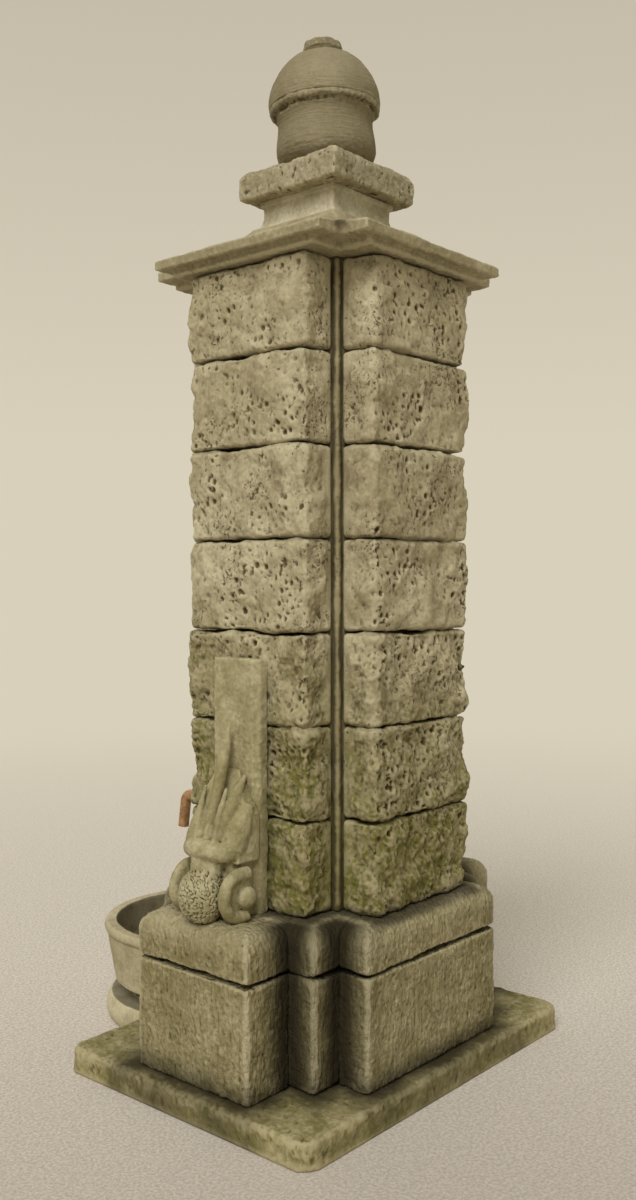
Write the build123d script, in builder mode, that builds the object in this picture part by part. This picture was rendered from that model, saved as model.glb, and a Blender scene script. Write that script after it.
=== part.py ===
"""Stone drinking fountain: a pillar of ashlar blocks on a two-tier plinth, with a basin at its front.

Millimetres, +Z up. The origin is on the pillar's axis at ground level. The basin and the spout face -Y,
the two carved side ornaments face +X (right) and -X (left), and the water runs up the pillar's middle.
"""

import os
from math import sqrt

from build123d import *

os.makedirs("parts", exist_ok=True)

# ---------------------------------------------------------------- driving dimensions
course = 300  # height of one course of stone, the unit of the whole design
course_count = 7
seam = 0.3  # gap between pieces that move apart

# Base slab
slab_height = 89
slab_half_x = 723
slab_back = 535
slab_front = 558
slab_corner_r = 62
slab_edge_r = 22
service_half_x = 250  # opening under the plinth, for the pipes and a hand
service_half_y = 180

# Plinth: a core whose corners show, and four boxes that stand out of its sides
plinth_cap_bottom = 446
plinth_top = 595
plinth_core_half_x = 476
plinth_core_half_y = 349
side_box_face = 664  # boxes on +X and -X
side_box_half_width = 246
end_box_face = 467  # boxes on +Y and -Y
end_box_half_width = 360
plinth_arris = 6
plinth_cap_r = 65
chamber_half_x = 300
chamber_half_y = 220
chamber_corner_r = 25

# Pillar
shaft_core_half = 279
shaft_face = 417
block_half_width = 261
block_edge_r = 14
shaft_top = plinth_top + course_count * course
chase_r = 60
chase_top = 900

# Cornice, a cross in plan with a swept roof
cornice_bed_half = 441
cornice_bed_arm = 318
cornice_half = 474
cornice_arm = 372
cornice_fascia_bottom = shaft_top + 26
cornice_fascia_top = shaft_top + 62
cornice_top = 2889
cornice_top_half = 186
roof_pull = 0.6  # how far the roof's curve stays low before it climbs

# Neck and cap slab
neck_waist_half = 159
neck_waist = 2935
neck_lip_half = 165
neck_lip = 2970
cap_slab_bottom = 2987
cap_slab_top = 3090
cap_slab_half = 216
cap_slab_edge_r = 34
cap_slab_arris = 6

# Finial: a turned bowl with a domed lid
finial_foot_r = 130
finial_foot_top = 3112
finial_bulge_r = 174
finial_bulge = 3192
finial_waist_r = 168
finial_waist = 3275
finial_rim_r = 193
finial_rim = 3310
finial_lid = 3322
lid_r = 196
lid_neck_r = 62
lid_neck = 3507
knob_r = 71
knob = 3528
finial_top = 3555
spigot_r = 60
spigot_depth = 25
lid_edge = 8  # upright edge of the lid
lid_shoulder_r = 157
lid_shoulder = 3445

# Side ornaments: an upright panel and a carved scroll-and-leaf bracket in front of it
panel_face = 471
panel_half_width = 104
panel_top = 1410
panel_chamfer = 18
bracket_half_width = 92
head_x = 574
head_z = 678
head_r = 88
scroll_y = 126
scroll_z = 668
scroll_r = 66
scroll_face = 560

# Basin
basin_y = -615  # centre of the basin's round front
foot_r = 390
foot_height = 90
foot_neck_r = 290
foot_top = 141
foot_top_r = 335
foot_roll_bottom = 14  # how far the foot's roll draws in at the ground
foot_roll_top = 20
foot_ledge = 30
foot_hollow_rise = 12
bowl_arris_r = 356
bowl_side_r = 386
bowl_groove = 322
bowl_lip = 330
bowl_lip_r = 396
bowl_rim = 363
bowl_rim_inner_r = 350
bowl_wall_r = 336
bowl_wall = 270
bowl_floor = 195
bowl_groove_depth = 4
bowl_lip_under = 4  # how far the lip draws in at its lower edge
bowl_lip_over = 8
bowl_floor_r = 70  # radius between the bowl's floor and its wall
bowl_back_wall = 40

# Pipes: outer radius and wall of each
pipe_r = 14
pipe_wall = 1
spout_r = 21
spout_wall = 1.5
spout_z = 816
spout_reach = 735
spout_mouth_y = 753
spout_mouth_z = 688
spout_bend_r = 34
spout_inner_end = 30
waste_r = 25
waste_wall = 2
waste_y = -740
waste_flange_r = 48
waste_flange = 3
waste_end = 12
waste_recess_r = 62
waste_recess = 62
pipe_clearance = 1
bead_height = 6  # a raised ring that stops a coupling pushed over a pipe's end
bead_out = 3
coupling_length = 40

# Elbow between the riser and the spout
elbow_bottom = 762
riser_top = 790
elbow_socket_r = 18
elbow_ball_r = 27
elbow_mouth = 50

# Stop cock in the plinth chamber, its plug lying along X
cock_z = 270
cock_half_height = 55
cock_socket = 20
cock_body_r = 20
cock_barrel_r = 25
cock_barrel_half = 32
cock_bore_r = 16
cock_end_wall = 4
plug_clearance = 0.05
plug_way_r = 12
stem_square = 14
stem_end = 52
lever_x = 40
lever_thickness = 8
lever_half_width = 11
lever_length = 110

# Strainer that lies loose in the basin's outlet
strainer_r = 42
strainer_thickness = 4
strainer_spigot_r = 22.5
strainer_spigot_wall = 2
strainer_spigot = 14
strainer_hole_r = 3
strainer_rings = ((12, 6), (23, 12), (34, 18))

SIDES = {"right": 0, "back": 90, "left": 180, "front": 270}  # turn about Z from +X


def plan_box(half_x, half_y, bottom, top):
    """A box round the pillar's axis, between two heights."""
    with BuildPart(mode=Mode.PRIVATE) as box:
        with BuildSketch(Plane.XY.offset(bottom)):
            Rectangle(2 * half_x, 2 * half_y)
        extrude(amount=top - bottom)
    return box.part


def rounded_box(half_x, half_y, bottom, top, radius):
    """A box round the pillar's axis whose top edges are rounded."""
    with BuildPart(mode=Mode.PRIVATE) as box:
        add(plan_box(half_x, half_y, bottom, top))
        fillet(box.edges().group_by(Axis.Z)[-1], radius)
    return box.part


def tube(radius, wall, bottom, top, y=0, bead=False):
    """A plain upright pipe. A bead, if it has one, stops a coupling pushed over its lower end."""
    with BuildPart(mode=Mode.PRIVATE) as pipe:
        with BuildSketch(Plane((0, y, bottom))):
            Circle(radius)
        extrude(amount=top - bottom)
        if bead:
            with BuildSketch(Plane((0, y, bottom + coupling_length))):
                Circle(radius + bead_out)
            extrude(amount=bead_height)
        with BuildSketch(Plane((0, y, bottom))):
            Circle(radius - wall)
        extrude(amount=top - bottom, mode=Mode.SUBTRACT)
    return pipe.part


# ---------------------------------------------------------------- base slab
with BuildPart() as base_slab:
    with BuildSketch(Plane((0, (slab_back - slab_front) / 2, 0))):
        RectangleRounded(2 * slab_half_x, slab_back + slab_front, slab_corner_r)
    extrude(amount=slab_height)
    fillet(base_slab.faces().sort_by(Axis.Z)[-1].outer_wire().edges(), slab_edge_r)
    with BuildSketch():
        Rectangle(2 * service_half_x, 2 * service_half_y)
    extrude(amount=slab_height, mode=Mode.SUBTRACT)
base_slab.part.label = "base_slab"
export_step(base_slab.part, "parts/base_slab.step")

# ---------------------------------------------------------------- plinth, lower tier
with BuildPart() as plinth_core:
    add(plan_box(plinth_core_half_x, plinth_core_half_y, slab_height, plinth_cap_bottom))
    chamfer(plinth_core.edges().filter_by(Axis.Z), plinth_arris)
    with BuildSketch(Plane.XY.offset(slab_height)):
        RectangleRounded(2 * chamber_half_x, 2 * chamber_half_y, chamber_corner_r)
    extrude(amount=plinth_cap_bottom - slab_height, mode=Mode.SUBTRACT)
plinth_core.part.label = "plinth_core"
export_step(plinth_core.part, "parts/plinth_core.step")

for side, turn in SIDES.items():
    on_x = side in ("right", "left")
    inner = plinth_core_half_x if on_x else plinth_core_half_y
    outer = side_box_face if on_x else end_box_face
    half_width = side_box_half_width if on_x else end_box_half_width
    facing = Plane.XY.offset(slab_height).rotated((0, 0, turn))
    with BuildPart() as plinth_block:
        with BuildSketch(facing):
            with Locations(((inner + outer) / 2, 0)):
                Rectangle(outer - inner, 2 * half_width)
        extrude(amount=plinth_cap_bottom - slab_height)
        outward = plinth_block.faces().sort_by(Axis((0, 0, 0), facing.x_dir))[-1]
        chamfer(outward.edges() - outward.edges().group_by(Axis.Z)[0], plinth_arris)
    plinth_block.part.label = f"plinth_block_{side}"
    export_step(plinth_block.part, f"parts/plinth_block_{side}.step")

# ---------------------------------------------------------------- plinth, cap tier
cap_heights = (plinth_cap_bottom, plinth_top)
with BuildPart() as cap_form:
    add(rounded_box(side_box_face, side_box_half_width, *cap_heights, plinth_cap_r))
    add(rounded_box(end_box_half_width, end_box_face, *cap_heights, plinth_cap_r))
    add(rounded_box(plinth_core_half_x, plinth_core_half_y, *cap_heights, plinth_cap_r))

with BuildPart() as plinth_cap_core:
    add(cap_form.part)
    add(
        plan_box(plinth_core_half_x, plinth_core_half_y, *cap_heights),
        mode=Mode.INTERSECT,
    )
    with BuildSketch(Plane.XY.offset(plinth_cap_bottom)):
        Circle(chase_r)
    extrude(amount=plinth_top - plinth_cap_bottom, mode=Mode.SUBTRACT)
plinth_cap_core.part.label = "plinth_cap_core"
export_step(plinth_cap_core.part, "parts/plinth_cap_core.step")

for side, turn in SIDES.items():
    on_x = side in ("right", "left")
    inner = plinth_core_half_x if on_x else plinth_core_half_y
    outer = side_box_face if on_x else end_box_face
    half_width = side_box_half_width if on_x else end_box_half_width
    with BuildPart() as plinth_cap:
        with BuildSketch(Plane.XY.offset(plinth_cap_bottom).rotated((0, 0, turn))):
            with Locations(((inner + outer) / 2, 0)):
                Rectangle(outer - inner, 2 * half_width)
        extrude(amount=plinth_top - plinth_cap_bottom)
        add(cap_form.part, mode=Mode.INTERSECT)
    plinth_cap.part.label = f"plinth_cap_{side}"
    export_step(plinth_cap.part, f"parts/plinth_cap_{side}.step")

# ---------------------------------------------------------------- pillar core
with BuildPart() as shaft_core:
    add(plan_box(shaft_core_half, shaft_core_half, plinth_top, shaft_top))
    with BuildSketch(Plane.XY.offset(plinth_top)):
        Circle(chase_r)
    extrude(amount=chase_top - plinth_top, mode=Mode.SUBTRACT)
    with BuildSketch(Plane.XZ):
        with Locations((0, spout_z)):
            Circle(spout_r + pipe_clearance)
    extrude(amount=shaft_core_half, mode=Mode.SUBTRACT)
shaft_core.part.label = "shaft_core"
export_step(shaft_core.part, "parts/shaft_core.step")

# ---------------------------------------------------------------- pillar blocks, course by course
for number in range(1, course_count + 1):
    bed = plinth_top + (number - 1) * course
    for side, turn in SIDES.items():
        facing = Plane.XY.offset(bed).rotated((0, 0, turn))
        with BuildPart() as shaft_block:
            with BuildSketch(facing):
                with Locations(((shaft_core_half + shaft_face) / 2, 0)):
                    Rectangle(shaft_face - shaft_core_half, 2 * block_half_width)
            extrude(amount=course)
            hidden_face = shaft_block.faces().sort_by(Axis((0, 0, 0), facing.x_dir))[0]
            fillet(shaft_block.edges() - hidden_face.edges(), block_edge_r)
            if side == "front" and bed < spout_z < bed + course:
                with BuildSketch(Plane.XZ):
                    with Locations((0, spout_z)):
                        Circle(spout_r + pipe_clearance)
                extrude(amount=shaft_face, mode=Mode.SUBTRACT)
        shaft_block.part.label = f"shaft_block_{number}_{side}"
        export_step(shaft_block.part, f"parts/{shaft_block.part.label}.step")

# ---------------------------------------------------------------- cornice
with BuildPart() as cornice:
    for upright in (Plane.XZ, Plane.YZ):
        with BuildSketch(upright) as roof_section:
            with BuildLine():
                eave = (cornice_half, cornice_fascia_top)
                crown = (cornice_top_half, cornice_top)
                low = (
                    cornice_half + (cornice_top_half - cornice_half) * roof_pull,
                    cornice_fascia_top,
                )
                Bezier(eave, low, crown)
                Line(crown, (0, cornice_top))
                Line((0, cornice_top), (0, shaft_top))
                Line((0, shaft_top), (cornice_half, shaft_top))
                Line((cornice_half, shaft_top), eave)
            make_face()
            mirror(about=Plane.YZ)
        extrude(
            amount=cornice_half,
            both=True,
            mode=Mode.ADD if upright == Plane.XZ else Mode.INTERSECT,
        )
    with BuildSketch(Plane.XY.offset(cornice_fascia_bottom)):
        Rectangle(2 * cornice_half, 2 * cornice_arm)
        Rectangle(2 * cornice_arm, 2 * cornice_half)
    extrude(amount=cornice_top - cornice_fascia_bottom, mode=Mode.INTERSECT)
    with BuildSketch(Plane.XY.offset(shaft_top)):
        Rectangle(2 * cornice_bed_half, 2 * cornice_bed_arm)
        Rectangle(2 * cornice_bed_arm, 2 * cornice_bed_half)
    extrude(amount=cornice_fascia_bottom - shaft_top)
cornice.part.label = "cornice"
export_step(cornice.part, "parts/cornice.step")

# ---------------------------------------------------------------- neck block
with BuildPart() as neck_block:
    for upright in (Plane.XZ, Plane.YZ):
        with BuildSketch(upright):
            with BuildLine():
                foot = (cornice_top_half, cornice_top)
                waist = (neck_waist_half, neck_waist)
                Bezier(foot, (neck_waist_half, cornice_top), waist)
                Polyline(
                    waist,
                    (neck_waist_half, neck_lip),
                    (neck_lip_half, neck_lip),
                    (neck_lip_half, cap_slab_bottom),
                    (0, cap_slab_bottom),
                    (0, cornice_top),
                    foot,
                )
            make_face()
            mirror(about=Plane.YZ)
        extrude(
            amount=cornice_top_half,
            both=True,
            mode=Mode.ADD if upright == Plane.XZ else Mode.INTERSECT,
        )
neck_block.part.label = "neck_block"
export_step(neck_block.part, "parts/neck_block.step")

# ---------------------------------------------------------------- cap slab
with BuildPart() as cap_slab:
    add(
        rounded_box(
            cap_slab_half, cap_slab_half, cap_slab_bottom, cap_slab_top, cap_slab_edge_r
        )
    )
    chamfer(cap_slab.edges().group_by(Axis.Z)[0], cap_slab_arris)
cap_slab.part.label = "cap_slab"
export_step(cap_slab.part, "parts/cap_slab.step")

# ---------------------------------------------------------------- finial
with BuildPart() as finial_bowl:
    with BuildSketch(Plane.XZ):
        with BuildLine():
            Polyline(
                (finial_rim_r, finial_rim),
                (finial_rim_r, finial_lid),
                (spigot_r, finial_lid),
                (spigot_r, finial_lid - spigot_depth),
                (0, finial_lid - spigot_depth),
                (0, cap_slab_top),
                (finial_foot_r, cap_slab_top),
                (finial_foot_r, finial_foot_top),
            )
            Spline(
                (finial_foot_r, finial_foot_top),
                (finial_bulge_r, finial_bulge),
                (finial_waist_r, finial_waist),
                (finial_rim_r, finial_rim),
            )
        make_face()
    revolve(axis=Axis.Z)
finial_bowl.part.label = "finial_bowl"
export_step(finial_bowl.part, "parts/finial_bowl.step")

dome_edge = finial_lid + lid_edge
with BuildPart() as finial_lid_dome:
    with BuildSketch(Plane.XZ):
        with BuildLine():
            Polyline(
                (lid_r, dome_edge),
                (lid_r, finial_lid),
                (spigot_r - seam, finial_lid),
                (spigot_r - seam, finial_lid - spigot_depth),
                (0, finial_lid - spigot_depth),
                (0, finial_top),
                (lid_neck_r, finial_top),
                (knob_r, knob),
                (lid_neck_r, lid_neck),
            )
            Spline(
                (lid_neck_r, lid_neck),
                (lid_shoulder_r, lid_shoulder),
                (lid_r, dome_edge),
                tangents=((1, -0.1), (0, -1)),
            )
        make_face()
    revolve(axis=Axis.Z)
finial_lid_dome.part.label = "finial_dome"
export_step(finial_lid_dome.part, "parts/finial_dome.step")

# ---------------------------------------------------------------- side panels and carved brackets
bracket_outline = (
    (panel_face, plinth_top),
    (545, plinth_top),
    (555, 750),
    (640, 800),
    (646, 850),
    (632, 930),
    (560, 1030),
    (486, 1180),
    (panel_face, 1182),
)
for side in ("right", "left"):
    turn = SIDES[side]
    with BuildPart() as side_panel:
        with BuildSketch(Plane.XY.offset(plinth_top).rotated((0, 0, turn))):
            with Locations(((shaft_face + panel_face) / 2, 0)):
                Rectangle(panel_face - shaft_face, 2 * panel_half_width)
        extrude(amount=panel_top - plinth_top)
        outward = side_panel.faces().sort_by(Axis.X)[-1 if side == "right" else 0]
        chamfer(outward.edges().filter_by(Axis.Z), panel_chamfer)
    side_panel.part.label = f"side_panel_{side}"
    export_step(side_panel.part, f"parts/side_panel_{side}.step")

with BuildPart() as bracket_right:
    with BuildSketch(Plane.XZ):
        with BuildLine():
            Polyline(*bracket_outline, close=True)
        make_face()
    extrude(amount=bracket_half_width, both=True)
    with BuildSketch(Plane.YZ.offset(panel_face)):
        with Locations((scroll_y, scroll_z), (-scroll_y, scroll_z)):
            Circle(scroll_r)
    extrude(amount=scroll_face - panel_face)
    with Locations((head_x, 0, head_z)):
        Sphere(head_r)
    with BuildSketch(Plane.XY.offset(plinth_top)):
        Rectangle(2 * side_box_face, 2 * side_box_half_width)
    extrude(amount=-head_r, mode=Mode.SUBTRACT)
bracket_right.part.label = "carved_bracket_right"
export_step(bracket_right.part, "parts/carved_bracket_right.step")

with BuildPart() as bracket_left:
    mirror(bracket_right.part, about=Plane.YZ)
bracket_left.part.label = "carved_bracket_left"
export_step(bracket_left.part, "parts/carved_bracket_left.step")

# ---------------------------------------------------------------- basin
basin_axis = Axis((0, basin_y, 0), (0, 0, 1))
basin_section = Plane.XZ.offset(-basin_y)
reach = bowl_lip_r + 1

with BuildPart() as basin_foot:
    with BuildSketch(basin_section):
        with BuildLine():
            ThreePointArc(
                (foot_r - foot_roll_bottom, 0),
                (foot_r, foot_height / 2),
                (foot_r - foot_roll_top, foot_height),
            )
            Line((foot_r - foot_roll_top, foot_height), (foot_neck_r + foot_ledge, foot_height))
            Bezier(
                (foot_neck_r + foot_ledge, foot_height),
                (foot_neck_r - foot_ledge, foot_height + foot_hollow_rise),
                (foot_top_r, foot_top),
            )
            Polyline(
                (foot_top_r, foot_top),
                (0, foot_top),
                (0, 0),
                (foot_r - foot_roll_bottom, 0),
            )
        make_face()
    revolve(axis=basin_axis)
    with BuildSketch():
        with Locations((0, -slab_front + reach)):
            Rectangle(2 * reach, 2 * reach)
    extrude(amount=slab_height, mode=Mode.SUBTRACT)
    with BuildSketch():
        with Locations((0, -end_box_face + reach)):
            Rectangle(2 * reach, 2 * reach)
    extrude(amount=foot_top, mode=Mode.SUBTRACT)
    with BuildSketch(Plane((0, waste_y, 0))):
        Circle(waste_recess_r)
    extrude(amount=waste_recess, mode=Mode.SUBTRACT)
    with BuildSketch(Plane((0, waste_y, 0))):
        Circle(waste_r + pipe_clearance)
    extrude(amount=foot_top, mode=Mode.SUBTRACT)
basin_foot.part.label = "basin_foot"
export_step(basin_foot.part, "parts/basin_foot.step")

with BuildPart() as bowl_hollow:
    with BuildSketch(basin_section):
        with BuildLine():
            floor_end = (bowl_wall_r - bowl_floor_r, bowl_floor)
            wall_foot = (bowl_wall_r, bowl_floor + bowl_floor_r)
            corner_mid = (
                bowl_wall_r - bowl_floor_r * (1 - 1 / sqrt(2)),
                bowl_floor + bowl_floor_r * (1 - 1 / sqrt(2)),
            )
            Line((0, bowl_floor), floor_end)
            ThreePointArc(floor_end, corner_mid, wall_foot)
            Polyline(
                wall_foot,
                (bowl_wall_r, bowl_wall),
                (bowl_rim_inner_r, bowl_rim),
                (bowl_rim_inner_r, bowl_rim + 1),
                (0, bowl_rim + 1),
                (0, bowl_floor),
            )
        make_face()
    revolve(axis=basin_axis)
    with BuildSketch():
        with Locations((0, -end_box_face - bowl_back_wall + reach)):
            Rectangle(2 * reach, 2 * reach)
    extrude(amount=2 * bowl_rim, mode=Mode.SUBTRACT)

with BuildPart() as basin_bowl:
    with BuildSketch(basin_section):
        with BuildLine():
            lip_mid = (bowl_lip + bowl_rim) / 2
            Polyline(
                (0, bowl_rim),
                (0, foot_top),
                (bowl_arris_r, foot_top),
                (bowl_side_r, bowl_groove),
                (bowl_side_r - bowl_groove_depth, bowl_lip),
                (bowl_lip_r - bowl_lip_under, bowl_lip),
            )
            ThreePointArc(
                (bowl_lip_r - bowl_lip_under, bowl_lip),
                (bowl_lip_r, lip_mid),
                (bowl_lip_r - bowl_lip_over, bowl_rim),
            )
            Line((bowl_lip_r - bowl_lip_over, bowl_rim), (0, bowl_rim))
        make_face()
    revolve(axis=basin_axis)
    with BuildSketch():
        with Locations((0, -end_box_face + reach)):
            Rectangle(2 * reach, 2 * reach)
    extrude(amount=2 * bowl_rim, mode=Mode.SUBTRACT)
    add(bowl_hollow.part, mode=Mode.SUBTRACT)
    with BuildSketch(Plane((0, waste_y, bowl_floor))):
        Circle(waste_flange_r + pipe_clearance)
    extrude(amount=-waste_flange, mode=Mode.SUBTRACT)
    with BuildSketch(Plane((0, waste_y, bowl_floor))):
        Circle(waste_r + pipe_clearance)
    extrude(amount=foot_top - bowl_floor, mode=Mode.SUBTRACT)
basin_bowl.part.label = "basin_bowl"
export_step(basin_bowl.part, "parts/basin_bowl.step")

# ---------------------------------------------------------------- waste pipe and strainer
with BuildPart() as waste_pipe:
    add(tube(waste_r, waste_wall, waste_end, bowl_floor, waste_y, bead=True))
    with BuildSketch(Plane((0, waste_y, bowl_floor - waste_flange))):
        Circle(waste_flange_r)
        Circle(waste_r - waste_wall, mode=Mode.SUBTRACT)
    extrude(amount=waste_flange)
waste_pipe.part.label = "waste_pipe"
export_step(waste_pipe.part, "parts/waste_pipe.step")

with BuildPart() as basin_strainer:
    with BuildSketch(Plane((0, waste_y, bowl_floor + seam))):
        Circle(strainer_r)
    extrude(amount=strainer_thickness)
    fillet(basin_strainer.edges().group_by(Axis.Z)[-1], strainer_thickness / 2)
    with BuildSketch(Plane((0, waste_y, bowl_floor + seam))):
        Circle(strainer_spigot_r)
        Circle(strainer_spigot_r - strainer_spigot_wall, mode=Mode.SUBTRACT)
    extrude(amount=-strainer_spigot)
    for ring_r, hole_count in strainer_rings:
        with BuildSketch(Plane((0, waste_y, bowl_floor + seam))):
            with PolarLocations(ring_r, hole_count):
                Circle(strainer_hole_r)
        extrude(amount=strainer_thickness, mode=Mode.SUBTRACT)
basin_strainer.part.label = "basin_strainer"
export_step(basin_strainer.part, "parts/basin_strainer.step")

# ---------------------------------------------------------------- spout, elbow, riser and supply
with BuildPart() as spout_pipe:
    with BuildLine():
        FilletPolyline(
            (0, -spout_inner_end, spout_z),
            (0, -spout_reach, spout_z),
            (0, -spout_mouth_y, spout_mouth_z),
            radius=spout_bend_r,
        )
    with BuildSketch(Plane(origin=(0, -spout_inner_end, spout_z), z_dir=(0, -1, 0))):
        Circle(spout_r)
        Circle(spout_r - spout_wall, mode=Mode.SUBTRACT)
    sweep()
spout_pipe.part.label = "spout_pipe"
export_step(spout_pipe.part, "parts/spout_pipe.step")

with BuildPart() as spout_elbow:
    with Locations((0, 0, spout_z)):
        Sphere(elbow_ball_r)
    with BuildSketch(Plane.XZ):
        with Locations((0, spout_z)):
            Circle(elbow_ball_r)
    extrude(amount=elbow_mouth)
    with BuildSketch(Plane.XY.offset(elbow_bottom)):
        Circle(elbow_socket_r)
    extrude(amount=spout_z - elbow_bottom)
    with BuildSketch(Plane.XZ):
        with Locations((0, spout_z)):
            Circle(spout_r - spout_wall)
    extrude(amount=elbow_mouth, mode=Mode.SUBTRACT)
    with BuildSketch(Plane.XZ.offset(spout_inner_end)):
        with Locations((0, spout_z)):
            Circle(spout_r)
    extrude(amount=elbow_mouth - spout_inner_end, mode=Mode.SUBTRACT)
    with BuildSketch(Plane.XY.offset(elbow_bottom)):
        Circle(pipe_r - pipe_wall)
    extrude(amount=spout_z - elbow_bottom, mode=Mode.SUBTRACT)
    with BuildSketch(Plane.XY.offset(elbow_bottom)):
        Circle(pipe_r)
    extrude(amount=riser_top - elbow_bottom, mode=Mode.SUBTRACT)
spout_elbow.part.label = "spout_elbow"
export_step(spout_elbow.part, "parts/spout_elbow.step")

with BuildPart() as riser_pipe:
    add(tube(pipe_r, pipe_wall, cock_z + cock_half_height - cock_socket, riser_top))
riser_pipe.part.label = "riser_pipe"
export_step(riser_pipe.part, "parts/riser_pipe.step")

with BuildPart() as supply_pipe:
    add(tube(pipe_r, pipe_wall, 0, cock_z - cock_half_height + cock_socket, bead=True))
supply_pipe.part.label = "supply_pipe"
export_step(supply_pipe.part, "parts/supply_pipe.step")

# ---------------------------------------------------------------- stop cock
with BuildPart() as cock_body:
    with BuildSketch(Plane.XY.offset(cock_z - cock_half_height)):
        Circle(cock_body_r)
    extrude(amount=2 * cock_half_height)
    with BuildSketch(Plane.YZ.offset(-cock_barrel_half)):
        with Locations((0, cock_z)):
            Circle(cock_barrel_r)
    extrude(amount=2 * cock_barrel_half)
    with BuildSketch(Plane.YZ.offset(cock_end_wall - cock_barrel_half)):
        with Locations((0, cock_z)):
            Circle(cock_bore_r)
    extrude(amount=2 * cock_barrel_half - cock_end_wall, mode=Mode.SUBTRACT)
    with BuildSketch(Plane.XY.offset(cock_z - cock_half_height)):
        Circle(pipe_r - pipe_wall)
    extrude(amount=2 * cock_half_height, mode=Mode.SUBTRACT)
    for socket in (cock_z - cock_half_height, cock_z + cock_half_height - cock_socket):
        with BuildSketch(Plane.XY.offset(socket)):
            Circle(pipe_r)
        extrude(amount=cock_socket, mode=Mode.SUBTRACT)
cock_body.part.label = "cock_body"
export_step(cock_body.part, "parts/cock_body.step")

with BuildPart() as cock_plug:
    with BuildSketch(Plane.YZ.offset(cock_end_wall + seam - cock_barrel_half)):
        with Locations((0, cock_z)):
            Circle(cock_bore_r - plug_clearance)
    extrude(amount=2 * cock_barrel_half - cock_end_wall)
    with BuildSketch(Plane.YZ.offset(cock_barrel_half)):
        with Locations((0, cock_z)):
            Rectangle(stem_square, stem_square)
    extrude(amount=stem_end - cock_barrel_half)
    with BuildSketch(Plane.XY.offset(cock_z - cock_bore_r)):
        Circle(plug_way_r)
    extrude(amount=2 * cock_bore_r, mode=Mode.SUBTRACT)
cock_plug.part.label = "cock_plug"
export_step(cock_plug.part, "parts/cock_plug.step")

with BuildPart() as cock_lever:
    with BuildSketch(Plane.YZ.offset(lever_x)):
        with Locations((0, cock_z - lever_length / 2)):
            SlotCenterToCenter(lever_length, 2 * lever_half_width, rotation=90)
        with Locations((0, cock_z)):
            Rectangle(stem_square, stem_square, mode=Mode.SUBTRACT)
    extrude(amount=lever_thickness)
cock_lever.part.label = "cock_lever"
export_step(cock_lever.part, "parts/cock_lever.step")
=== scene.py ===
from math import cos, pi, radians, sin

import bpy
import numpy as np
from mathutils import Matrix, Vector, noise


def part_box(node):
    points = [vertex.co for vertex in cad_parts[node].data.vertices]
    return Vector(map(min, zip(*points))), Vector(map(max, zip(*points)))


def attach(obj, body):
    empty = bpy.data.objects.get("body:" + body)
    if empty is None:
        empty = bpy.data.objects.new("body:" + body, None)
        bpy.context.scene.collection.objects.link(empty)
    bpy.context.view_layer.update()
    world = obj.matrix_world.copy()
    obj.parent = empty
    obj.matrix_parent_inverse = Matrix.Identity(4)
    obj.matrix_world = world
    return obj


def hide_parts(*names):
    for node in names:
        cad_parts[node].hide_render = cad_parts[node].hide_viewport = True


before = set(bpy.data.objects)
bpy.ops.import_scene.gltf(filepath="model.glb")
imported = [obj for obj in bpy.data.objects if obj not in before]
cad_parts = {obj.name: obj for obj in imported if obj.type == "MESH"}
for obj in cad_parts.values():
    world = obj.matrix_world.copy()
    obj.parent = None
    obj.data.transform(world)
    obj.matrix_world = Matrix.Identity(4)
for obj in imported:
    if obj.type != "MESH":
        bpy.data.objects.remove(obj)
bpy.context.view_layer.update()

SIDES = {"right": 0, "back": 90, "left": 180, "front": 270}  # turn about Z from +X, in degrees
COURSES = 7
BODY = "fountain"


# ---------------------------------------------------------------- handling pieces

MERGE_WITHIN = 0.00002
FLAT_WITHIN = radians(2)  # hidden faces that turn less than this are merged
WEIGHT_STEPS = 20
DEEP = 0.004  # no pit shallower than this is as dark as a full hollow
RIDGE_ROUNDS = 14
RIDGE_SPAN = 0.010  # from the deepest dip to the proudest ridge that the materials tell apart


def take(piece):
    """Makes one piece the only selected one, and the active one."""
    bpy.ops.object.select_all(action="DESELECT")
    piece.select_set(True)
    bpy.context.view_layer.objects.active = piece


def settle(piece):
    """Puts the piece's place, turn and size into its mesh."""
    take(piece)
    bpy.ops.object.transform_apply(location=True, rotation=True, scale=True)


def new_box(middle, size):
    """A box, to be shaped further."""
    bpy.ops.object.select_all(action="DESELECT")
    bpy.ops.mesh.primitive_cube_add(size=1, location=middle, scale=size)
    made = bpy.context.object
    settle(made)
    return made


def new_roll(middle, radius, length, sides):
    """A cylinder lying along Y, to be shaped further."""
    bpy.ops.object.select_all(action="DESELECT")
    bpy.ops.mesh.primitive_cylinder_add(
        vertices=sides, radius=radius, depth=length, location=middle, rotation=(pi / 2, 0, 0)
    )
    made = bpy.context.object
    settle(made)
    return made


def new_ball(middle, size):
    """A ball of three half-widths, to be joined to other members."""
    bpy.ops.object.select_all(action="DESELECT")
    bpy.ops.mesh.primitive_uv_sphere_add(
        segments=48, ring_count=24, radius=1, location=middle, scale=size
    )
    made = bpy.context.object
    settle(made)
    return made


def finish_with(piece, kind, **settings):
    """Adds one modifier and applies it."""
    take(piece)
    modifier = piece.modifiers.new(kind.lower(), kind)
    for key, value in settings.items():
        setattr(modifier, key, value)
    bpy.ops.object.modifier_apply(modifier=modifier.name)


def remesh(piece, voxel):
    """Makes the piece one closed skin of even faces."""
    finish_with(piece, "REMESH", mode="VOXEL", voxel_size=voxel)


def ease(piece, rounds):
    """Rounds the arrises off, a little more with each round."""
    finish_with(piece, "SMOOTH", factor=0.5, iterations=rounds)


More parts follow.
